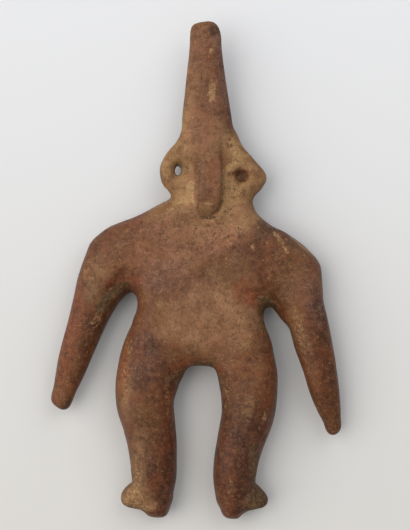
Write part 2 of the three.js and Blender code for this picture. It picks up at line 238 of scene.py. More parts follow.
def outside_section(across, half_width, z, top, bottom, front=FRONT_ROUND):
    """How far points lie outside a rounded section, across being their share of the half width."""
    level = bottom + WAIST_LEVEL * (top - bottom)
    above = z > level
    half = np.where(above, top - level, level - bottom)
    power = np.where(above, front, BACK_ROUND)
    rise = np.abs(z - level) / half
    r = np.maximum((across**power + rise**power) ** (1 / power), TINY)
    slope = np.hypot((across / r) ** (power - 1) / half_width, (rise / r) ** (power - 1) / half)
    return (r - 1) / slope


def smear(a, b, width):
    """Two clays joined, with the crease between them filled over a width."""
    overlap = np.maximum(width - np.abs(a - b), 0) / width
    return np.minimum(a, b) - overlap * overlap * width / 4


def coil(stations, front=FRONT_ROUND):
    """A coil's own columns, as (which columns, how far outside it they are at each level)."""
    distance, values = nearest_on(smooth_line(stations), COLUMN_X, COLUMN_Y)
    near = distance < values[:, 0] + REACH
    width, top, bottom = values[near].T[:, :, None]
    return near, outside_section(distance[near, None] / width, width, LEVELS, top, bottom, front)


def inside_outline(line, x, y):
    """Whether each point lies inside a closed line, by how often a ray from it crosses the line."""
    inside = np.zeros(len(x), bool)
    for a, b in zip(line[:-1], line[1:]):
        if a[1] != b[1]:
            crossed = (a[1] > y) != (b[1] > y)
            inside ^= crossed & (x < a[0] + (y - a[1]) / (b[1] - a[1]) * (b[0] - a[0]))
    return inside


def slab(outline, edge, top, bottom):
    """A slab's or a pad's own columns, as coil gives them."""
    line = smooth_line(outline, closed=True)
    distance, _ = nearest_on(line, COLUMN_X, COLUMN_Y)
    inside = inside_outline(line, COLUMN_X, COLUMN_Y)
    near = inside | (distance < REACH)
    across = np.maximum(1 - np.where(inside, distance, -distance)[near, None] / edge, 0)
    return near, outside_section(across, edge, LEVELS, top, bottom)


clay = np.full((len(COLUMN_X), LEVELS.size), FAR)


def join(piece, width):
    """Adds a coil, slab or pad to the clay, smeared on over a width."""
    near, outside = piece
    clay[near] = smear(clay[near], outside, width)


for piece in SLABS.values():
    join(slab(**piece), JOIN)
for stations in COILS.values():
    join(coil(stations), JOIN)
for piece in PADS.values():
    join(slab(**piece), END_JOIN)


def press(x, y, z, rx, ry, rz, lip):
    """Presses an ellipsoid of those half sizes into the clay, with a lip rounded over lip mm."""
    near = np.hypot((COLUMN_X - x) / rx, (COLUMN_Y - y) / ry) < 1 + REACH / min(rx, ry)
    ex = ((COLUMN_X[near, None] - x) / rx, (COLUMN_Y[near, None] - y) / ry, (LEVELS - z) / rz)
    k0 = np.sqrt(sum(e * e for e in ex))
    k1 = np.sqrt(sum((e / r) ** 2 for e, r in zip(ex, (rx, ry, rz))))
    hollow = k0 * (k0 - 1) / np.maximum(k1, TINY)
    clay[near] = -smear(-clay[near], hollow, lip)


# A thumb pressed the neck thinner. Its hollow is (x, y, z, three half sizes).
NECK_HOLLOW = (6.5, 18.5, TRUNK_TOP + 3.0, 17, 8.5, 5.4)
press(*NECK_HOLLOW, JOIN)

# Wet hands wiped the joined clay until no crease was left. Each pass evens it out over about a cell.
HAND_PASSES = 4
clay = clay.reshape(GRID)
for _ in range(HAND_PASSES):
    for axis in range(3):
        inner = [slice(None)] * 3
        before, after = inner.copy(), inner.copy()
        inner[axis], before[axis], after[axis] = slice(1, -1), slice(0, -2), slice(2, None)
        clay[tuple(inner)] = (
            clay[tuple(before)] + 2 * clay[tuple(inner)] + clay[tuple(after)]
        ) / 4
clay = clay.reshape(len(COLUMN_X), LEVELS.size)

# The nose is a strip of clay laid down the middle of the face and smeared into the forehead. Its
# left side was wiped soft, its right side left steep, and its end cut off square with a stick,
# which left a flat facet above the chest.
NOSE_RISE = 5.0
NOSE_JOIN = 1.0
NOSE_FRONT = 3.6
NOSE_ROOT = 8.0
NOSE_FACET_FOOT = 22.3
NOSE_FACET_LEAN = 0.66
NOSE_FACET_ROUND = 2.0
NOSE = [
    [5.4, 54.0, 4.2, CREST_BASE_TOP - 0.4, NOSE_ROOT],
    [6.2, 46.0, 4.5, CREST_BASE_TOP + 0.8, NOSE_ROOT],
    [5.6, 35.0, 4.7, HEAD_TOP + 0.85 * NOSE_RISE, NOSE_ROOT],
    [5.3, 29.5, 4.7, HEAD_TOP + 0.95 * NOSE_RISE, NOSE_ROOT],
    [4.8, 25.4, 4.0, HEAD_TOP + NOSE_RISE, NOSE_ROOT],
]
NOSE_WIPE = [
    [1.4, 43.0, 2.4, HEAD_TOP + 1.4, NOSE_ROOT],
    [0.6, 34.0, 2.4, HEAD_TOP + 1.5, NOSE_ROOT],
    [1.4, 29.0, 1.6, HEAD_TOP + 1.2, NOSE_ROOT],
]
join(coil(NOSE_WIPE), JOIN)
near_nose, nose = coil(NOSE, NOSE_FRONT)
facet = NOSE_FACET_FOOT + NOSE_FACET_LEAN * (LEVELS - HEAD_TOP) - COLUMN_Y[near_nose, None]
nose = -smear(-nose, -facet / math.hypot(1, NOSE_FACET_LEAN), NOSE_FACET_ROUND)
join((near_nose, nose), NOSE_JOIN)

# A pointed tool was drawn down the nose's right side and round its end, and left a fine groove.
NOSE_GROOVE = [
    [10.9, 58, HEAD_TOP + 1.9], [10.9, 51, HEAD_TOP + 1.2], [10.8, 44, HEAD_TOP + 1.1],
    [10.6, 35, HEAD_TOP + 0.9], [10.3, 29.5, HEAD_TOP + 0.9], [9.0, 25.2, HEAD_TOP + 0.9],
    [7.4, 22.9, HEAD_TOP + 1.0], [4.7, 21.8, HEAD_TOP + 1.1], [2.2, 22.8, HEAD_TOP + 1.4],
    [0.9, 25.4, HEAD_TOP + 2.0],
]
GROOVE_WIDTH = 1.3
GROOVE_LIP = 0.7
distance, level = nearest_on(smooth_line(NOSE_GROOVE), COLUMN_X, COLUMN_Y)
near = distance < REACH
groove = np.hypot(distance[near, None], LEVELS - level[near]) - GROOVE_WIDTH / 2
clay[near] = -smear(-clay[near], groove, GROOVE_LIP)

# The eyes were pressed in with a fingertip and punched with a round stick while the clay was wet.
# The left one, on the viewer's left, goes right through, and the right one stops inside the clay.
EYE_LIP = 0.8
# A fingertip's hollow is (x, y, z, three half sizes). A stick's hole is (x, y, level of its floor,
# two half widths, flare).
EYES = {
    "left": {
        "hollows": [
            (-4.6, 41.8, HEAD_TOP + 1.6, 4.8, 4.8, 2.6),
            (-7.3, 41.1, HEAD_TOP + 0.8, 3.2, 4.4, 2.8),
        ],
        "hole": (-7.5, 41.2, -FAR, 1.14, 1.88, 0.05),
    },
    "right": {
        "hollows": [
            (17.4, 37.8, HEAD_TOP + 1.6, 5.6, 4.4, 2.6),
            (17.4, 38.7, HEAD_TOP + 0.7, 3.6, 2.3, 2.2),
        ],
        "hole": (18.9, 38.6, HEAD_TOP - 2.8, 1.3, 1.0, 0.22),
    },
}


def punch(x, y, floor, rx, ry, flare):
    """Punches an oval hole from the front down to floor, wider towards its mouth by flare per mm."""
    near = np.hypot(COLUMN_X - x, COLUMN_Y - y) < REACH + max(rx, ry)
    widen = 1 + flare * np.maximum(LEVELS - HEAD_TOP / 2, 0)
    oval = np.hypot((COLUMN_X[near, None] - x) / rx, (COLUMN_Y[near, None] - y) / ry)
    wall = (oval / widen - 1) * min(rx, ry) * widen
    hollow = -smear(-wall, -(floor - LEVELS), EYE_LIP)
    clay[near] = -smear(-clay[near], hollow, EYE_LIP)


for eye in EYES.values():
    for hollow in eye["hollows"]:
        press(*hollow, EYE_LIP)
    punch(*eye["hole"])


def skin_of(field):
    """Surface nets: one vertex in each grid cell that the surface crosses, and quads between them."""
    inside = field < 0
    shape = np.array(field.shape)
    total = np.zeros((*(shape - 1), 3))
    count = np.zeros(shape - 1)
    edges = []
    for axis in range(3):
        u, v = (axis + 1) % 3, (axis + 2) % 3
        low = [slice(None)] * 3
        high = [slice(None)] * 3
        low[axis], high[axis] = slice(0, -1), slice(1, None)
        crossed = np.argwhere(inside[tuple(low)] != inside[tuple(high)])
        crossed = crossed[((crossed[:, [u, v]] > 0) & (crossed[:, [u, v]] < shape[[u, v]] - 1)).all(1)]
        after = crossed.copy()
        after[:, axis] += 1
        a, b = field[tuple(crossed.T)], field[tuple(after.T)]
        spot = crossed.astype(float)
        spot[:, axis] += a / (a - b)
        ring = []
        for du, dv in ((0, 0), (-1, 0), (-1, -1), (0, -1)):
            cell = crossed.copy()
            cell[:, u] += du
            cell[:, v] += dv
            np.add.at(total, tuple(cell.T), spot)
            np.add.at(count, tuple(cell.T), 1)
            ring.append(cell)
        edges.append((np.stack(ring, 1), a < 0))
    used = np.argwhere(count > 0)
    number = np.full(shape - 1, -1)
    number[tuple(used.T)] = np.arange(len(used))
    spots = total[tuple(used.T)] / count[tuple(used.T)][:, None]
    quads = []
    for ring, outward in edges:
        corners = number[tuple(np.moveaxis(ring, 2, 0))]
        corners[~outward] = corners[~outward][:, ::-1]
        quads.append(corners)
    return spots, np.vstack(quads)


spots, quads = skin_of(clay.reshape(GRID))
skin = spots * CELL + np.array([axis[0] for axis in AXES])

figure_mesh = bpy.data.meshes.new("figure_clay")
figure_mesh.from_pydata(((skin - DRAWN_MIDDLE) * MM).tolist(), [], quads.tolist())
figure_mesh.update()
figure_mesh.polygons.foreach_set("use_smooth", [True] * len(figure_mesh.polygons))
figure = bpy.data.objects.new("figure_clay", figure_mesh)
bpy.context.scene.collection.objects.link(figure)

# The marks of hands, use and burial, and some painted light. Slip was brushed on and rubbed with a
# pebble, in strokes along the limbs. Since then it has worn and flaked off in places, the clay under
# it has pitted, and soil has stayed in the hollows. The grey marks and part of the pink ones are
# painted sheen, and part of the dark ones are painted shade. A mark is (x, y, half width, half height,
# turn in degrees, strength).
THIN_MARKS = [
    (4.0, 82.0, 9.0, 34.0, 0, 0.2),       # headdress
    (6.0, 36.0, 4.0, 10.0, 0, 0.25),      # nose
    (-3.2, 72.0, 3.4, 22.0, -5, 0.26),    # left edge of the headdress
    (-5.0, 60.0, 3.0, 8.0, -20, 0.45),
    (3.0, 54.0, 9.0, 9.0, 0, 0.35),       # forehead
    (-9.0, 43.0, 8.0, 12.0, 0, 0.78),     # left side of the face
    (-4.0, 33.0, 5.0, 9.0, 0, 0.95),
    (17.0, 48.0, 5.0, 9.0, 25, 0.7),      # right side of the face
    (20.5, 38.0, 11.0, 11.0, 0, 0.6),
    (14.5, 31.0, 6.0, 9.0, 0, 0.9),
    (5.3, 25.0, 4.0, 2.6, 0, 0.45),       # end of the nose
    (8.0, 18.0, 17.0, 7.0, 0, 0.76),      # neck
    (21.0, 23.0, 6.0, 6.0, 0, 0.6),
    (-12.0, 24.5, 9.0, 4.0, 27, 0.5),
    (1.0, 10.0, 18.0, 10.0, 0, 0.3),      # chest
    (-16.0, 6.0, 14.0, 12.0, 0, 0.26),
    (-28.0, 8.0, 9.0, 9.0, 30, 0.16),     # left shoulder
    (-41.0, -4.0, 6.0, 9.0, -25, 0.4),
    (14.0, -4.0, 8.0, 12.0, 0, 0.5),      # chest
    (36.0, 6.0, 9.0, 9.0, -35, 0.3),      # right shoulder
    (2.0, -20.0, 17.0, 14.0, 0, 0.55),    # belly
    (21.0, -20.0, 8.0, 10.0, 0, 0.3),
    (-24.0, -18.0, 6.0, 9.0, 0, 0.2),
    (20.0, -42.0, 9.0, 14.0, 0, 0.2),     # right thigh
    (21.3, -55.5, 2.2, 6.0, -8, 0.55),
    (-28.8, -46.0, 3.0, 14.0, 0, 0.4),    # left hip
    (-20.0, -62.0, 7.0, 14.0, 0, 0.16),   # left thigh
    (-23.5, -80.0, 3.4, 16.0, -3, 0.5),   # left ankle and foot
    (-23.5, -93.0, 7.0, 6.0, 8, 0.95),
    (-52.0, -38.0, 4.0, 16.0, -14, 0.22), # left arm
    (-54.5, -50.0, 3.0, 5.0, -14, 0.3),
    (41.0, -6.0, 8.0, 10.0, 15, 0.2),     # right arm
    (42.5, -24.0, 4.0, 10.0, 12, 0.4),
    (47.0, -36.0, 3.0, 10.0, 12, 0.25),
    (14.6, -88.0, 1.4, 4.0, 0, 0.45),     # right shin
]
# Pinkish slip, which is partly painted sheen where the satin slip reflects the pale room, most of it on
# the chest.
PINK_AND_SHEEN_MARKS = [
    (4.0, 82.0, 8.0, 26.0, 0, 0.55),      # headdress
    (1.0, 55.0, 6.0, 9.0, 0, 0.55),       # forehead
    (7.5, 37.0, 3.0, 10.0, 2, 0.7),       # nose
    (-1.5, 31.0, 2.6, 7.0, -8, 0.75),
    (4.0, 12.0, 20.0, 9.0, 0, 0.9),       # chest
    (-16.0, 14.0, 14.0, 9.0, 25, 0.5),
    (-14.0, 0.0, 14.0, 9.0, 0, 0.7),
    (19.0, 24.0, 5.0, 5.0, 0, 0.5),       # neck
    (4.0, -18.0, 20.0, 16.0, 0, 0.6),     # belly
    (45.0, -7.0, 6.0, 9.0, 15, 0.4),      # right arm
    (-24.0, -94.0, 7.0, 5.0, 8, 0.3),     # left foot
]
# Painted sheen: greyish patches that stand in for the satin slip reflecting the pale room.
SHEEN_MARKS = [
    (-19.0, -36.0, 5.0, 10.0, 8, 0.35),   # left thigh
    (-13.0, -1.0, 9.0, 7.0, 20, 0.4),     # chest
    (43.0, -8.0, 6.0, 8.0, 15, 0.35),     # right arm
    (48.5, -17.0, 3.2, 7.0, 8, 0.6),
    (20.5, -66.0, 3.4, 8.0, -12, 0.5),    # right knee
    (11.0, 86.0, 3.0, 22.0, 4, 0.75),     # right edge of the headdress
    (-27.5, -60.0, 2.4, 10.0, 0, 0.3),    # outer edge of the left leg
]
RED_MARKS = [
    (18.0, -72.0, 14.0, 32.0, 0, 0.22),   # legs
    (-18.0, -70.0, 14.0, 32.0, 0, 0.2),
    (24.0, -38.0, 12.0, 12.0, 0, 0.3),    # right hip
    (-26.0, -22.0, 8.0, 14.0, 0, 0.42),   # waist
    (46.0, -30.0, 7.0, 18.0, 12, 0.34),   # right arm
    (-52.0, -40.0, 6.0, 16.0, -14, 0.3),  # left arm
    (-28.0, 8.0, 14.0, 10.0, 25, 0.26),   # left shoulder
    (-49.8, -22.0, 3.6, 24.0, -12, 0.85), # outer edge of the left arm
    (-54.5, -46.0, 3.4, 8.0, -14, 0.5),
    (-30.0, -5.2, 9.0, 3.0, 12, 0.8),     # armpits
    (20.0, -9.0, 5.0, 6.0, 0, 0.75),
    (26.5, -11.6, 6.0, 2.4, -15, 0.7),
    (33.0, 4.0, 9.0, 9.0, 0, 0.35),       # right shoulder
    (-3.0, -36.4, 7.0, 2.2, 0, 0.6),      # crotch
    (-8.5, -39.0, 3.6, 2.6, 40, 0.7),
    (9.5, -40.5, 2.4, 3.0, -30, 0.5),
    (-29.6, -40.5, 2.6, 10.0, 0, 0.8),    # left hip
    (-27.4, -24.0, 2.0, 6.0, 8, 0.8),
    (-11.0, -74.0, 3.4, 25.0, 0, 0.7),    # left shin
    (-13.5, -90.0, 5.0, 9.0, 0, 0.7),
    (13.0, -80.0, 4.0, 18.0, 0, 0.4),     # right shin
    (16.0, -94.0, 5.0, 7.0, 0, 0.4),
    (29.0, -52.0, 3.0, 12.0, 0, 0.45),    # outer edge of the right thigh
    (6.8, 37.0, 3.0, 10.0, 3, 0.3),       # nose
    (18.3, 39.2, 3.2, 2.6, 0, 0.8),       # right eye
    (49.0, -38.0, 5.0, 14.0, 12, 0.3),    # right arm
]
# Darker patches: fire clouds, and painted shade down the right-hand sides of the headdress, arms and
# legs, which are turned away from the window.
DARK_AND_SHADE_MARKS = [
    (18.0, -76.0, 13.0, 30.0, 0, 0.64),   # legs
    (-18.0, -78.0, 12.0, 20.0, 0, 0.48),
    (-52.0, -42.0, 6.0, 14.0, -14, 0.16), # arms
    (47.0, -30.0, 7.0, 14.0, 12, 0.44),
    (-26.0, -22.0, 8.0, 12.0, 0, 0.34),   # waist
    (18.3, 38.9, 2.6, 2.2, 0, 0.9),       # right eye
    (19.2, 38.4, 1.6, 1.4, 0, 1.0),
    (7.0, 97.0, 2.0, 2.2, 0, 1.0),        # tip of the headdress
    # painted shade along the right edge of the headdress
    (10.6, 90.0, 2.0, 14.0, 4, 0.28),     # right edge of the headdress
    (12.4, 68.0, 2.6, 18.0, 8, 0.25),
    (33.0, 15.0, 11.0, 2.0, -33, 0.6),    # right shoulder
    (27.5, 8.0, 12.0, 8.0, 0, 0.12),
    (49.8, -16.0, 2.6, 9.0, 6, 0.5),      # right arm
    (54.0, -46.0, 3.0, 16.0, 10, 0.45),
    (24.6, -64.5, 4.4, 6.0, -15, 0.75),   # right knee and shin
    (19.5, -79.0, 3.6, 16.0, 3, 0.6),
    (18.0, -94.0, 2.6, 6.0, 0, 0.5),
    # painted shade on the right side of the left shin
    (-10.6, -84.0, 3.0, 16.0, 0, 0.7),    # left shin
    (-14.5, -93.0, 4.0, 4.0, 0, 0.6),
    (-13.0, -42.5, 3.4, 5.0, 30, 0.4),    # inner side of the left thigh
    (-44.2, -27.0, 2.4, 12.0, -18, 0.45), # left arm
    (-53.4, -55.0, 2.6, 3.4, 0, 0.55),
    (-33.0, 13.0, 10.0, 3.0, 27, 0.2),    # left shoulder
    (-3.0, -10.0, 9.0, 9.0, 0, 0.16),     # belly
    (-40.0, -8.0, 6.0, 5.0, -30, 0.25),   # left armpit
    (-16.5, -30.0, 3.0, 3.0, 0, 0.4),     # left hip
]
FLAKED_MARKS = [
    (6.8, 72.6, 1.8, 4.2, -8, 0.62),      # headdress
    (3.9, 79.7, 1.2, 2.6, -10, 0.42),
    (6.2, 89.0, 0.6, 1.3, -15, 0.7),
    (5.2, 87.1, 0.5, 0.7, 0, 0.6),
    (15.6, 49.5, 2.4, 5.5, 20, 0.62),     # right side of the face
    (14.6, 42.6, 3.8, 1.2, 32, 0.62),
    (-2.2, 31.6, 1.8, 5.4, -8, 0.9),      # left of the nose
    (-4.2, 28.6, 2.2, 2.4, 0, 0.8),
    (-1.4, 30.0, 0.7, 4.0, 14, 1.0),
    (-9.0, 26.0, 4.0, 1.2, 35, 0.5),      # left of the neck
    (16.5, 32.0, 3.0, 3.0, 0, 0.42),      # right of the nose
    (5.4, 26.9, 2.6, 0.6, 0, 0.55),       # end of the nose
    (8.0, 19.0, 9.0, 3.0, 0, 0.3),        # neck
    (33.5, 12.8, 1.1, 5.0, 35, 0.5),      # right shoulder
    (44.6, 9.0, 7.0, 0.45, -38, 0.62),
    (36.6, 7.7, 0.8, 1.7, 35, 0.66),
    (23.0, 9.7, 1.0, 0.9, 0, 0.62),
    (28.6, 11.4, 0.7, 0.7, 0, 0.62),
    (-41.0, -20.0, 2.0, 6.0, -24, 0.42),  # inner edge of the left arm
    (-27.4, -29.0, 1.6, 8.0, 8, 0.38),    # hips and legs
    (-28.6, -46.0, 1.6, 10.0, 0, 0.3),
    (12.6, -52.0, 1.2, 7.0, 2, 0.3),
    (-11.6, -52.0, 1.2, 8.0, 0, 0.36),
    (27.8, -60.0, 1.2, 3.5, -15, 0.45),
    (42.0, -22.0, 2.6, 8.0, 12, 0.34),    # right arm and hand
    (56.2, -63.6, 0.8, 1.0, 10, 0.5),
    (-20.0, -97.0, 5.0, 1.6, 0, 0.4),     # left foot
    (-25.5, -93.5, 4.5, 3.0, 0, 0.42),
    (-24.0, -86.0, 2.0, 6.0, 0, 0.36),
]
SOIL_MARKS = [
    (-31.0, -8.0, 5.0, 2.4, 35, 0.85),    # armpits
    (-37.6, -14.0, 2.4, 5.5, -32, 0.7),
    (29.4, -13.8, 4.2, 2.6, -30, 0.85),
    (27.6, -24.0, 1.6, 9.0, 8, 0.5),      # right side of the waist
    (-9.6, -44.0, 2.4, 4.4, -35, 0.62),   # crotch
    (3.8, -38.4, 5.0, 1.5, 0, 0.9),
    (9.8, -45.0, 1.6, 4.5, 25, 0.6),
    (-8.2, -60.0, 0.9, 14.0, 0, 0.5),     # inner sides of the legs
    (10.0, -58.0, 0.9, 10.0, 0, 0.45),
    (23.4, -78.0, 2.2, 9.5, 3, 0.6),      # right shin and foot
    (25.0, -94.0, 6.0, 5.0, 0, 0.7),
    (-24.6, -98.0, 5.0, 1.6, -10, 0.5),   # left foot
    (-6.0, 41.5, 2.8, 3.2, 0, 0.5),       # eyes
    (16.4, 36.4, 2.4, 1.6, -20, 0.4),
    (10.6, 33.0, 0.9, 10.0, 0, 0.45),     # round the nose
    (5.0, 21.9, 4.0, 0.9, 0, 0.8),
    (0.9, 26.0, 0.8, 3.0, 0, 0.4),
    (-18.0, -30.0, 2.6, 3.4, 0, 0.45),    # left hip
    (-14.4, 40.0, 1.4, 8.0, 0, 0.4),      # sides of the face
    (27.6, 38.0, 1.4, 7.0, 0, 0.3),
]
PIT_MARKS = [
    (8.7, 13.0, 11.0, 8.0, 0, 1.0),       # chest
    (10.0, 21.0, 8.0, 4.0, 0, 0.6),       # neck
    (17.0, 34.0, 6.0, 3.0, 0, 0.5),       # under the right eye
    (6.8, 72.7, 1.7, 3.9, 0, 0.7),        # headdress
    (-18.0, -30.0, 3.2, 4.4, 0, 0.8),     # left hip
    (-10.2, -43.6, 3.0, 4.4, -35, 0.7),   # crotch
    (26.0, -65.0, 3.2, 6.0, -15, 0.8),    # right knee
    (-41.0, -20.0, 2.2, 6.0, -22, 0.6),   # left arm
    (-25.0, 14.0, 7.0, 5.0, 0, 0.4),      # left shoulder
    (-17.0, -96.0, 6.0, 3.0, 0, 0.4),     # left foot
    (37.0, 11.0, 9.0, 1.6, -36, 0.4),     # right shoulder
    (12.5, -50.0, 1.5, 6.0, 0, 0.6),      # right thigh
]
# Thicker slip starts again below this line, from the right of the neck down to the chest. It has
# an edge this soft, hides this share of the wear, and fades out between two heights of the trunk
# and two places on the right arm.
SLIP_LINE = [(-2.0, 4.4), (2.5, 5.6), (11.2, 8.1), (19.0, 14.7), (25.9, 20.5), (30.0, 24.0)]
SLIP_EDGE = 0.35
SLIP_HIDES = 0.6
SLIP_FADE_DOWN = (-14, 2)
SLIP_FADE_RIGHT = (46, 34)

# Random values lie on a lattice of this many points a side, and then repeat.
LATTICE = 64


def lumps(spots, size, seed):
    """Smooth random values from -1 to 1 at points, in lumps about size across."""
    lattice = np.random.default_rng(seed).uniform(-1, 1, (LATTICE,) * 3)
    place = spots / size
    low = np.floor(place).astype(int)
    share = place - low
    share = share * share * (3 - 2 * share)
    total = np.zeros(len(spots))
    for corner in np.ndindex(2, 2, 2):
        weight = np.prod(np.where(corner, share, 1 - share), axis=1)
        total += weight * lattice[tuple(((low + corner) % LATTICE).T)]
    return total


def smooth_step(low, high, value):
    """0 at low, 1 at high, and eased between them."""
    share = np.clip((value - low) / (high - low), 0, 1)
    return share * share * (3 - 2 * share)


# A mark's outline wanders by this share of its smaller half size, in lumps of this size.
WANDER = 0.35
WANDER_SIZE = 5


def marked(marks, spots, seed, soft):
    """How strongly a kind of mark shows at each point, with its outlines wandering a little."""
    wander_x, wander_y = (lumps(spots, WANDER_SIZE, seed + k) for k in (0, 1))
    total = np.zeros(len(spots))
    for x, y, half_width, half_height, turn, strength in marks:
        c, s = math.cos(math.radians(turn)), math.sin(math.radians(turn))
        wander = WANDER * min(half_width, half_height)
        dx = spots[:, 0] - x + wander * wander_x
        dy = spots[:, 1] - y + wander * wander_y
        r = np.hypot((c * dx + s * dy) / half_width, (c * dy - s * dx) / half_height)
        total = 1 - (1 - total) * (1 - strength * smooth_step(1 + soft, 1 - soft, r))
    return total


normals = np.empty(len(skin) * 3)
figure_mesh.vertices.foreach_get("normal", normals)
normals = normals.reshape(-1, 3)
facing = normals[:, 2]

# The marks show on the front, and fade out where a side turns away or comes down to the board.
front = smooth_step(-0.1, 0.35, facing) * smooth_step(2, 6, skin[:, 2])

TINT_SOFT = 0.5
PATCH_SOFT = 0.4
KINDS = {
    "thin": (THIN_MARKS, TINT_SOFT),
    "pink_and_sheen": (PINK_AND_SHEEN_MARKS, TINT_SOFT),
    "painted_sheen": (SHEEN_MARKS, TINT_SOFT),
    "red": (RED_MARKS, TINT_SOFT),
    "dark_and_shade": (DARK_AND_SHADE_MARKS, TINT_SOFT),
    "flaked": (FLAKED_MARKS, PATCH_SOFT),
    "soil": (SOIL_MARKS, PATCH_SOFT),
    "pitted": (PIT_MARKS, PATCH_SOFT),
}
wear = {
    name: marked(marks, skin, seed, soft) * front
    for seed, (name, (marks, soft)) in enumerate(KINDS.items())
}
line_x, line_y = np.array(SLIP_LINE).T
below_line = np.interp(skin[:, 0], line_x, line_y) - skin[:, 1]
below_line = smooth_step(-SLIP_EDGE, SLIP_EDGE, below_line + SLIP_EDGE * lumps(skin, 2.5, seed=20))
below_line = below_line * smooth_step(line_x[0], line_x[2], skin[:, 0]) * front
fade_down = smooth_step(*SLIP_FADE_DOWN, skin[:, 1])
wear["slip"] = below_line * fade_down * smooth_step(*SLIP_FADE_RIGHT, skin[:, 0])
for name in ("thin", "pink_and_sheen"):
    wear[name] *= 1 - SLIP_HIDES * wear["slip"]

# Steep sides are painted darker: painted shade where they turn away from the light.
wear["side"] = smooth_step(0.5, 0.05, facing) * smooth_step(-0.9, -0.3, facing)

# Small lumps and hollows that the potter's hands left: (x, y, half width, half height, turn, rise).
HANDLING = [
    (0, -25, 24, 15, 0, 0.9),             # belly
    (-17, 8, 17, 12, -15, 0.5),           # chest
    (24, 4, 15, 12, 15, 0.5),
    (-29, -6, 8, 5, 20, -1.2),            # armpits
    (26, -13, 8, 5, -20, -1.2),
    (2, -35, 10, 5, 0, -0.6),             # crotch
    (-2, -41, 22, 4, 0, 0.4),             # hips
    (15.2, 41.6, 3.4, 1.4, 38, 0.55),     # lid of the right eye
    (24.5, 36, 3, 6, 0, 0.4),             # sides of the face
    (-12, 40, 2.2, 7, 0, 0.4),
    (-23, -70, 5, 8, 0, -0.4),            # outer sides of the legs
    (24, -72, 4, 9, 0, -0.5),
]
# How high the unevenness left by the hands is, for lumps of each size.
HAND_UNEVEN = {22: 0.34, 9: 0.2, 4.5: 0.09}
STROKE_WIDTH, STROKE_LENGTH, STROKE_DEPTH = 1.9, 15.0, 0.05
GRAIN_SIZE, GRAIN_DEPTH = 1.3, 0.07
BURNISHED_GRAIN = 0.2
SLIP_THICKNESS = 0.08
SLIP_STEP = 0.12
SOIL_SIZE, SOIL_DEPTH, SOIL_EVEN = 1.6, 0.15, 0.3
BACK_RELIEF = 0.25

uneven = sum(
    height * lumps(skin, size, seed=30 + k)
    for k, (size, height) in enumerate(HAND_UNEVEN.items())
)
for *shape, rise in HANDLING:
    uneven += rise * marked([(*shape, 1)], skin, seed=40, soft=PATCH_SOFT) * front
strokes = lumps(skin / (STROKE_WIDTH, STROKE_LENGTH, STROKE_WIDTH), 1, seed=50)
grain = lumps(skin, GRAIN_SIZE, seed=51)
unburnished = np.maximum(wear["flaked"], wear["soil"])
relief = (
    uneven
    + STROKE_DEPTH * strokes * (1 - wear["flaked"])
    + GRAIN_DEPTH * grain * (BURNISHED_GRAIN + (1 - BURNISHED_GRAIN) * unburnished)
    - SLIP_THICKNESS * wear["flaked"]
    + SLIP_STEP * wear["slip"]
    + SOIL_DEPTH * wear["soil"] * (SOIL_EVEN + lumps(skin, SOIL_SIZE, seed=52))
)
relief *= BACK_RELIEF + (1 - BACK_RELIEF) * front

# Lost grains and bubbles left pits, most of them in the pitted places, and four larger ones, which
# are (x, y, size). A pit's bowl spreads and deepens by these shares of its size.
PIT_TRIES = 13000
PIT_CHANCE = 0.002
PITTED_CHANCE = 0.2
PIT_SIZES = (0.35, 0.75)
PIT_SPREAD = 1.4
PIT_DEPTH = 0.5
LARGE_PITS = [(13.9, 53.6, 0.75), (14.3, 50.7, 0.7), (-9.5, -45.3, 0.95), (-10.6, -41.4, 0.7)]
pit_dice = np.random.default_rng(7)
tries = pit_dice.integers(len(skin), size=PIT_TRIES)
sizes = pit_dice.uniform(*PIT_SIZES, PIT_TRIES)
chance = PIT_CHANCE * front[tries] + PITTED_CHANCE * wear["pitted"][tries]
kept = pit_dice.random(PIT_TRIES) < chance
pits = [(*skin[t], size) for t, size in zip(tries[kept], sizes[kept])]
for x, y, size in LARGE_PITS:
    column = np.hypot(skin[:, 0] - x, skin[:, 1] - y) + (1 - front) * FAR
    pits.append((*skin[np.argmin(column)], size))
pit_depth = np.zeros(len(skin))
for x, y, z, size in pits:
    reach = size * PIT_SPREAD
    box = np.flatnonzero(np.abs(skin - (x, y, z)).max(axis=1) < reach)
    outward = np.linalg.norm(skin[box] - (x, y, z), axis=1) / reach
    bowl = PIT_DEPTH * size * np.maximum(1 - outward * outward, 0)
    pit_depth[box] = np.maximum(pit_depth[box], bowl)
wear["pit"] = smooth_step(0.05, 0.3, pit_depth)
skin += normals * (relief - pit_depth)[:, None]

# The back lay on the board while the clay dried, so it is flat but for shallow hollows.
BACK_HOLLOW = 0.3
BACK_RIPPLE = 0.4
hollows = lumps(skin, 13, seed=60) + BACK_RIPPLE * lumps(skin, 5, seed=61)
skin[:, 2] = np.maximum(skin[:, 2], BACK_HOLLOW * np.maximum(hollows, 0))
figure_mesh.vertices.foreach_set("co", ((skin - DRAWN_MIDDLE) * MM).ravel())
for name, values in wear.items():
    figure_mesh.attributes.new(name, "FLOAT", "POINT").data.foreach_set("value", values)
figure_mesh.update()
print("figure", len(figure_mesh.vertices), "vertices", len(quads), "quads", len(pits), "pits")


def srgb(r, g, b):
    """A colour given as display values from 0 to 255, as the linear values that sockets hold."""
    def linear(v):
        v /= 255
        return v / 12.92 if v <= 0.04045 else ((v + 0.055) / 1.055) ** 2.4
    return (linear(r), linear(g), linear(b), 1)


def add(tree, kind, inputs=(), **settings):
    """Adds a node: inputs are sockets to link or plain values, settings are its own properties."""
    made = tree.nodes.new(kind)
    for name, value in settings.items():
        setattr(made, name, value)
    for key, value in dict(inputs).items():
        if isinstance(value, bpy.types.NodeSocket):
            tree.links.new(value, made.inputs[key])
        else:
            made.inputs[key].default_value = value
    return made


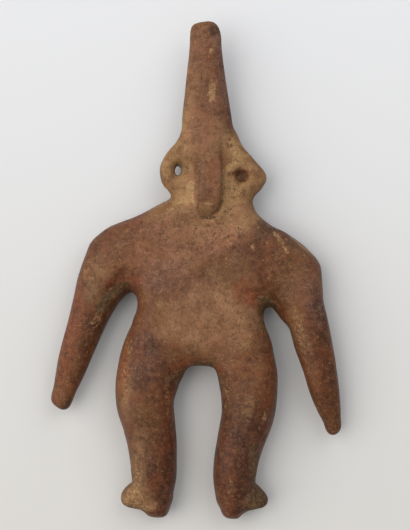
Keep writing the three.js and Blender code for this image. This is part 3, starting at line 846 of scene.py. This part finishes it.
def blend(tree, share, a, b):
    """Colour a turning into colour b by a share."""
    mix = add(tree, "ShaderNodeMix", data_type="RGBA")
    for key, value in (("Factor_Float", share), ("A_Color", a), ("B_Color", b)):
        socket = next(s for s in mix.inputs if s.identifier == key)
        if isinstance(value, bpy.types.NodeSocket):
            tree.links.new(value, socket)
        else:
            socket.default_value = value
    return next(s for s in mix.outputs if s.identifier == "Result_Color")


def sums(tree, operation, a, b):
    """Two values added, scaled or compared, as the operation says."""
    return add(tree, "ShaderNodeMath", {0: a, 1: b}, operation=operation).outputs[0]


def group(name, takes, gives):
    """An empty node group with float or vector sockets, and its two end nodes' sockets."""
    made = bpy.data.node_groups.new(name, "ShaderNodeTree")
    for title, (kind, value) in takes.items():
        socket = made.interface.new_socket(title, in_out="INPUT", socket_type=kind)
        if value is not None:
            socket.default_value = value
    for title, kind in gives.items():
        made.interface.new_socket(title, in_out="OUTPUT", socket_type=kind)
    return made, add(made, "NodeGroupInput").outputs, add(made, "NodeGroupOutput").inputs


FLOAT = "NodeSocketFloat"
VECTOR = "NodeSocketVector"

# A mark's soft share is broken up into ragged patches, as worn slip and lodged soil are.
ragged, taken, given = group(
    "ragged_patch",
    {"Vector": (VECTOR, None), "Share": (FLOAT, 0.5), "Size": (FLOAT, 1.0), "Fray": (FLOAT, 1.0),
     "Edge": (FLOAT, 0.1)},
    {"Mask": FLOAT},
)
rough_edge = add(ragged, "ShaderNodeTexNoise", {
    "Vector": taken["Vector"], "Scale": sums(ragged, "DIVIDE", 1.0, taken["Size"]),
    "Detail": 4.0, "Roughness": 0.62,
})
swing = sums(ragged, "SUBTRACT", rough_edge.outputs["Fac"], 0.5)
frayed = sums(ragged, "MULTIPLY", swing, taken["Fray"])
torn = add(ragged, "ShaderNodeMapRange", {
    "Value": sums(ragged, "ADD", taken["Share"], frayed),
    "From Min": sums(ragged, "SUBTRACT", 0.5, taken["Edge"]),
    "From Max": sums(ragged, "ADD", 0.5, taken["Edge"]),
}, interpolation_type="SMOOTHSTEP")
ragged.links.new(torn.outputs["Result"], given["Mask"])

# Fired clay holds sand and bits of crushed stone: fine mottling, small grains and dark specks.
grit, taken, given = group(
    "clay_grit",
    {"Vector": (VECTOR, None), "Speck size": (FLOAT, 0.8), "Specks": (FLOAT, 0.1)},
    {"Mottle": FLOAT, "Dark specks": FLOAT, "Grain": FLOAT},
)
fine = add(grit, "ShaderNodeTexNoise", {
    "Vector": taken["Vector"], "Scale": 0.55, "Detail": 7.0, "Roughness": 0.7,
})
grit.links.new(fine.outputs["Fac"], given["Mottle"])
grain_noise = add(grit, "ShaderNodeTexNoise", {
    "Vector": taken["Vector"], "Scale": 1.7, "Detail": 4.0, "Roughness": 0.65,
})
grit.links.new(grain_noise.outputs["Fac"], given["Grain"])
wobble = add(grit, "ShaderNodeTexNoise", {"Vector": taken["Vector"], "Scale": 0.8})
wobbled = add(grit, "ShaderNodeVectorMath", {
    0: taken["Vector"], 1: wobble.outputs["Color"],
}, operation="ADD")
cells = add(grit, "ShaderNodeTexVoronoi", {
    "Vector": wobbled.outputs[0], "Scale": sums(grit, "DIVIDE", 1.0, taken["Speck size"]),
})
cell_number = add(grit, "ShaderNodeSeparateColor", {"Color": cells.outputs["Color"]}).outputs[0]
chosen = sums(grit, "LESS_THAN", cell_number, taken["Specks"])
dot = add(grit, "ShaderNodeMapRange", {
    "Value": cells.outputs["Distance"], "From Min": 0.45, "From Max": 0.1,
}, interpolation_type="SMOOTHSTEP")
grit.links.new(sums(grit, "MULTIPLY", chosen, dot.outputs["Result"]), given["Dark specks"])

# The finish: brown slip rubbed to a satin, redder in places, tan where it has worn thin, with painted
# sheen where it is greyer or pinker, and painted shade on the steep sides. Ochre clay shows where it
# has flaked off, and olive soil in the hollows.
SLIP_BROWN = srgb(99, 56, 29)
SLIP_DEEP = srgb(76, 45, 24)
SLIP_THIN = srgb(166, 128, 86)
SLIP_TAN = srgb(134, 98, 62)
SLIP_PINK_AND_SHEEN = srgb(138, 88, 68)
SHEEN_GREY = srgb(112, 84, 78)
SLIP_RED = srgb(116, 54, 27)
FIRED_DARK_AND_SHADE = srgb(58, 33, 20)
CLAY_OCHRE = srgb(180, 144, 100)
CLAY_BUFF = srgb(152, 114, 74)
SOIL_OLIVE = srgb(80, 64, 42)
SOIL_PALE = srgb(112, 88, 56)
PIT_RED = srgb(70, 34, 22)
GRIT_PALE = srgb(186, 146, 108)
GRIT_DARK = srgb(36, 14, 6)
BURNISHED_ROUGHNESS = 0.34
DRY_ROUGHER = 0.35
STREAK_ROUGHER = 0.1

finish = bpy.data.materials.new("burnished_clay")
finish.use_nodes = True
nodes = finish.node_tree
shader = nodes.nodes["Principled BSDF"]
place = add(nodes, "ShaderNodeMapping", {
    "Vector": add(nodes, "ShaderNodeTexCoord").outputs["Object"], "Scale": (1 / MM,) * 3,
}).outputs[0]
along = add(nodes, "ShaderNodeMapping", {"Vector": place, "Scale": (0.5, 0.075, 0.5)}).outputs[0]
share = {name: add(nodes, "ShaderNodeAttribute", attribute_name=name).outputs["Fac"] for name in wear}


def spread(value, low, high):
    """A share that goes from 0 to 1 as a value goes from low to high."""
    ends = {"Value": value, "From Min": low, "From Max": high}
    return add(nodes, "ShaderNodeMapRange", ends).outputs["Result"]


def scaled(value, factor):
    return sums(nodes, "MULTIPLY", value, factor)


def patch(name, size, fray, edge):
    """A mark broken up into ragged patches of about size mm."""
    takes = {"Vector": place, "Share": share[name], "Size": size, "Fray": fray, "Edge": edge}
    return add(nodes, "ShaderNodeGroup", takes, node_tree=ragged).outputs["Mask"]


def tint(name, size, waver):
    """A mark whose strength wavers over about size mm, and which is nothing where unmarked."""
    noise = add(nodes, "ShaderNodeTexNoise", {
        "Vector": place, "Scale": 1 / size, "Detail": 2.5, "Roughness": 0.6,
    })
    wavering = scaled(spread(noise.outputs["Fac"], 0.34, 0.66), waver)
    product = {0: share[name], 1: sums(nodes, "ADD", 1 - waver / 2, wavering)}
    return add(nodes, "ShaderNodeMath", product, operation="MULTIPLY", use_clamp=True).outputs[0]


clay_grit = add(nodes, "ShaderNodeGroup", {
    "Vector": place, "Speck size": 1.4, "Specks": 0.1,
}, node_tree=grit).outputs
mottle, specks, fine_grain = clay_grit["Mottle"], clay_grit["Dark specks"], clay_grit["Grain"]
cloud = add(nodes, "ShaderNodeTexNoise", {
    "Vector": place, "Scale": 0.13, "Detail": 5.0, "Roughness": 0.6,
}).outputs["Fac"]
streak = add(nodes, "ShaderNodeTexNoise", {
    "Vector": along, "Scale": 1.0, "Detail": 3.0,
}).outputs["Fac"]
fleck_noise = add(nodes, "ShaderNodeTexNoise", {
    "Vector": place, "Scale": 0.8, "Detail": 4.0, "Roughness": 0.6,
}).outputs["Fac"]

flaked = patch("flaked", 1.1, 1.7, 0.22)
soiled = patch("soil", 2.2, 1.3, 0.35)
worn_thin = blend(nodes, spread(mottle, 0.38, 0.62), SLIP_THIN, SLIP_TAN)
bare_clay = blend(nodes, spread(mottle, 0.35, 0.65), CLAY_OCHRE, CLAY_BUFF)
soil = blend(nodes, spread(mottle, 0.4, 0.7), SOIL_OLIVE, SOIL_PALE)

# Pale flecks show most where the slip has gone, dark ones where it is pitted or soiled, and grit
# where it is thin or cloudy.
more_pale = sums(nodes, "ADD", scaled(share["flaked"], 0.16), scaled(share["thin"], 0.03))
more_dark = sums(nodes, "ADD", scaled(share["pitted"], 0.1), scaled(share["soil"], 0.06))
pale_flecks = spread(sums(nodes, "ADD", fleck_noise, more_pale), 0.64, 0.72)
dark_flecks = spread(sums(nodes, "SUBTRACT", fleck_noise, more_dark), 0.35, 0.27)
texture = sums(nodes, "ADD", scaled(mottle, 0.5), scaled(fine_grain, 0.5))
gritty = sums(nodes, "ADD", scaled(share["thin"], 0.4), 0.5)
gritty = sums(nodes, "ADD", scaled(spread(cloud, 0.36, 0.64), 0.6), gritty)
pale_grit = sums(nodes, "MULTIPLY", spread(texture, 0.5, 0.66), gritty)
dark_grit = sums(nodes, "MULTIPLY", spread(texture, 0.5, 0.34), gritty)

# The layers of colour over the slip, each over the one before: where it shows, how strongly, and
# its colour.
colour = blend(nodes, spread(cloud, 0.38, 0.62), SLIP_BROWN, SLIP_DEEP)
for shown, strength, layer in (
    (share["slip"], 0.36, SLIP_DEEP),
    (tint("thin", 4.0, 0.9), 1.0, worn_thin),
    # pinkish slip, partly painted sheen
    (tint("pink_and_sheen", 4.0, 0.9), 0.5, SLIP_PINK_AND_SHEEN),
    # painted sheen
    (tint("painted_sheen", 4.0, 0.8), 0.5, SHEEN_GREY),
    (tint("red", 3.4, 1.0), 0.62, SLIP_RED),
    # fire clouds and painted shade
    (tint("dark_and_shade", 3.0, 1.0), 0.75, FIRED_DARK_AND_SHADE),
    (spread(streak, 0.5, 0.7), 0.16, SLIP_DEEP),
    (flaked, 0.75, bare_clay),
    (soiled, 0.7, soil),
    (share["pit"], 0.75, PIT_RED),
    # painted shade on the steep sides
    (share["side"], 0.45, FIRED_DARK_AND_SHADE),
    (pale_flecks, 0.45, CLAY_OCHRE),
    (dark_flecks, 0.5, PIT_RED),
    (specks, 0.22, FIRED_DARK_AND_SHADE),
    (pale_grit, 0.22, GRIT_PALE),
    (dark_grit, 0.7, GRIT_DARK),
):
    colour = blend(nodes, scaled(shown, strength), colour, layer)
lightness = sums(nodes, "ADD", scaled(spread(mottle, 0.34, 0.66), 0.24), 0.85)
lightness = sums(nodes, "ADD", lightness, scaled(spread(streak, 0.35, 0.65), 0.1))
shaded = add(nodes, "ShaderNodeHueSaturation", {"Color": colour, "Value": lightness})
nodes.links.new(shaded.outputs["Color"], shader.inputs["Base Color"])

# Burnished slip has a soft gloss. Bare clay, soil and thin slip are dry and dull.
dry = sums(nodes, "MAXIMUM", soiled, scaled(share["thin"], 0.6))
dry = sums(nodes, "MAXIMUM", flaked, dry)
roughness = sums(nodes, "ADD", scaled(dry, DRY_ROUGHER), BURNISHED_ROUGHNESS)
streaky = scaled(spread(streak, 0.3, 0.7), STREAK_ROUGHER)
nodes.links.new(sums(nodes, "ADD", roughness, streaky), shader.inputs["Roughness"])
shader.inputs["Specular IOR Level"].default_value = 0.18

# The finest relief, in mm: the clay's own grain, which dry places show most, faint strokes, and
# flakes and specks that lie a little deeper.
height = scaled(fine_grain, sums(nodes, "ADD", scaled(dry, 0.3), 0.22))
for pattern, rise in ((streak, 0.06), (flaked, -0.05), (specks, -0.08)):
    height = sums(nodes, "ADD", height, scaled(pattern, rise))
bump = add(nodes, "ShaderNodeBump", {"Height": height, "Distance": MM, "Strength": 1.0})
nodes.links.new(bump.outputs["Normal"], shader.inputs["Normal"])
figure_mesh.materials.append(finish)
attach(figure, "root")
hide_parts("figure")

# The floor is a plain pale board, with painted shade that makes it a little greyer towards the near
# side. A large soft window on the left lights it, and a pale wall and a pale room fill the shadows.
# Sizes here are in metres.
FLOOR_SIZE = 3.0
FLOOR_GAP = 0.0002
PALE_OVER = 0.28
BOARD_FAR = srgb(217, 217, 218)
BOARD_NEAR_SHADE = srgb(208, 205, 200)
bpy.ops.mesh.primitive_plane_add(size=FLOOR_SIZE, location=(0, 0, -FLOOR_GAP))
floor_board = bpy.context.object
floor_board.name = "pale_floor"
paint = bpy.data.materials.new("pale_floor")
paint.use_nodes = True
board = paint.node_tree
coat = board.nodes["Principled BSDF"]
board_spot = add(board, "ShaderNodeTexCoord").outputs["Object"]
away = add(board, "ShaderNodeSeparateXYZ", {"Vector": board_spot}).outputs["Y"]
nearer = sums(board, "ADD", sums(board, "MULTIPLY", away, -1 / PALE_OVER), 0.5)
eased = add(board, "ShaderNodeMapRange", {"Value": nearer}, interpolation_type="SMOOTHSTEP")
board_colour = blend(board, eased.outputs["Result"], BOARD_FAR, BOARD_NEAR_SHADE)
board.links.new(board_colour, coat.inputs["Base Color"])
coat.inputs["Roughness"].default_value = 0.8
floor_board.data.materials.append(paint)

room = bpy.data.worlds.new("pale_room")
bpy.context.scene.world = room
room.use_nodes = True
room_light = room.node_tree.nodes["Background"].inputs
room_light["Color"].default_value = (0.95, 0.97, 1.0, 1)
room_light["Strength"].default_value = 0.45


def window(name, place, size, power, colour):
    """A rectangle that gives soft light, and faces the figure from its place."""
    light = bpy.data.lights.new(name, "AREA")
    light.shape = "RECTANGLE"
    light.size, light.size_y = size
    light.energy = power
    light.color = colour
    holder = bpy.data.objects.new(name, light)
    holder.location = place
    holder.rotation_mode = "QUATERNION"
    holder.rotation_quaternion = (-Vector(place)).to_track_quat("-Z", "Y")
    bpy.context.scene.collection.objects.link(holder)


window("window", (-1.75, 0.34, 1.55), (3.2, 3.2), 69.5, (1.0, 0.985, 0.96))
window("pale_wall", (0.5, 0.7, 0.7), (1.0, 1.0), 5.0, (0.95, 0.97, 1.0))

# The camera looks straight down from 42 cm over the level of the figure's widest outline, where
# PIXEL is the size of one pixel of the image. Sizes are millimetres again.
PIXEL = 0.414
IMAGE_HEIGHT = 530
WIDEST_LEVEL = 7
CAMERA_HEIGHT = 420
VIEW_FROM = np.array((3.7, 2.3, WIDEST_LEVEL + CAMERA_HEIGHT))
lens = bpy.data.cameras.new("camera")
lens.lens = lens.sensor_width / 2 / (IMAGE_HEIGHT / 2 * PIXEL / CAMERA_HEIGHT)
lens.clip_start, lens.clip_end = 0.01, 10
camera = bpy.data.objects.new("camera", lens)
camera.location = (VIEW_FROM - DRAWN_MIDDLE) * MM
bpy.context.scene.collection.objects.link(camera)
bpy.context.scene.camera = camera
bpy.context.scene.view_settings.view_transform = "Standard"
